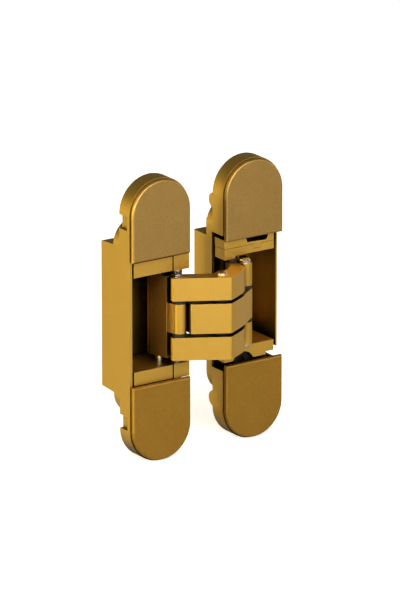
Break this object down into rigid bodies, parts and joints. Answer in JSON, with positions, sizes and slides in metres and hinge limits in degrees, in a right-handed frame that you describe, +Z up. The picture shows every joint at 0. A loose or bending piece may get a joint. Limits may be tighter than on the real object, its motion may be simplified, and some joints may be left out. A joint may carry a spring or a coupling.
{
  "type": "concealed door hinge",
  "caption": "Concealed three-way adjustable door hinge with crossed folding arms between two mortised leaves, standing open flat.",
  "frame": {"origin": "middle of the frame leaf's two mounting-screw holes, in the plane of the back of its end plates, which seats in the shallow step of the mortise", "axes": "+Z up along the leaves, +X from the frame leaf to the door leaf in the open pose, +Y into the mortise (the covers face -Y)"},
  "size_m": [0.0604, 0.0308, 0.095],
  "materials": {
    "body_paint": "satin gold metallic lacquer",
    "cover_paint": "matt gold metallic lacquer with a fine speckle",
    "steel": "turned",
    "dark_steel": "black oxide",
    "nylon": "matt"
  },
  "bodies": {
    "frame_housing": {"left_housing": "body_paint", "left_clamp_screws": "steel"},
    "frame_upper_cover": {"left_upper_cover": "cover_paint"},
    "frame_lower_cover": {"left_lower_cover": "cover_paint"},
    "frame_carriage": {"left_carriage": "body_paint", "left_arm_pin": "steel", "left_link_pin": "steel", "left_arm_sleeves": "steel"},
    "crossing_inner_arm": {"inner_arm": "body_paint"},
    "crossing_outer_arm": {"outer_arm": "body_paint", "centre_pin": "steel", "centre_washers": "nylon", "left_float_pin": "steel", "left_float_washers": "nylon"},
    "frame_link": {"left_link": "body_paint"},
    "door_link": {"right_link": "body_paint", "right_float_pin": "steel", "right_float_washers": "nylon"},
    "door_carriage": {"right_carriage": "body_paint", "right_arm_pin": "steel", "right_arm_washers": "nylon", "right_link_pin": "steel"},
    "door_depth_screw": {"depth_screw": "dark_steel"},
    "door_slide_blocks": {"right_upper_block": "body_paint", "right_lower_block": "body_paint"},
    "door_housing": {"right_housing": "body_paint", "right_clamp_screws": "steel"},
    "door_upper_cover": {"right_upper_cover": "cover_paint"},
    "door_lower_cover": {"right_lower_cover": "cover_paint"}
  },
  "joints": [
    {"name": "height_adjust", "type": "slide", "parent": "frame_housing", "child": "frame_carriage", "axis": [0, 0, 1], "range_m": [-0.0015, 0.0015]},
    {"name": "fold", "type": "hinge", "parent": "frame_carriage", "child": "crossing_inner_arm", "pos_m": [0.0089, -0.0024, 0], "axis": [0, 0, -1], "range_deg": [0, 112]},
    {"name": "centre_cross", "type": "hinge", "parent": "crossing_inner_arm", "child": "crossing_outer_arm", "pos_m": [0.0196, -0.0126, 0], "axis": [0, 0, -1], "range_deg": [-44, 0]},
    {"name": "frame_link_swing", "type": "hinge", "parent": "crossing_outer_arm", "child": "frame_link", "pos_m": [0.0065, -0.0076, 0], "axis": [0, 0, -1], "range_deg": [0, 51.2]},
    {"name": "door_link_swing", "type": "hinge", "parent": "crossing_inner_arm", "child": "door_link", "pos_m": [0.0328, -0.0063, 0], "axis": [0, 0, -1], "range_deg": [-55.1, 0]},
    {"name": "door_fold", "type": "hinge", "parent": "crossing_outer_arm", "child": "door_carriage", "pos_m": [0.0303, -0.0024, 0], "axis": [0, 0, -1], "range_deg": [0, 112]},
    {"name": "depth_adjust", "type": "slide", "parent": "door_carriage", "child": "door_slide_blocks", "axis": [0, 1, 0], "range_m": [-0.001, 0.0005]},
    {"name": "depth_screw_turn", "type": "hinge", "parent": "door_carriage", "child": "door_depth_screw", "pos_m": [0.0336, -0.0014, -0.0205], "axis": [0, 1, 0], "range_deg": [-720, 360]},
    {"name": "lateral_adjust", "type": "slide", "parent": "door_slide_blocks", "child": "door_housing", "axis": [1, 0, 0], "range_m": [-0.0008, 0.0008]},
    {"name": "frame_upper_cover_pull", "type": "slide", "parent": "frame_housing", "child": "frame_upper_cover", "axis": [0, -1, 0], "range_m": [0, 0.0018]},
    {"name": "frame_lower_cover_pull", "type": "slide", "parent": "frame_housing", "child": "frame_lower_cover", "axis": [0, -1, 0], "range_m": [0, 0.0018]},
    {"name": "door_upper_cover_pull", "type": "slide", "parent": "door_housing", "child": "door_upper_cover", "axis": [0, -1, 0], "range_m": [0, 0.0018]},
    {"name": "door_lower_cover_pull", "type": "slide", "parent": "door_housing", "child": "door_lower_cover", "axis": [0, -1, 0], "range_m": [0, 0.0018]}
  ],
  "couplings": [
    {"joint": "centre_cross", "follows": "fold", "ratio": -0.39286},
    {"joint": "frame_link_swing", "follows": "fold", "ratio": 0.45714},
    {"joint": "door_link_swing", "follows": "fold", "ratio": -0.49196},
    {"joint": "door_fold", "follows": "fold", "ratio": 1},
    {"joint": "depth_screw_turn", "follows": "depth_adjust", "rad_per_m": 12566}
  ]
}
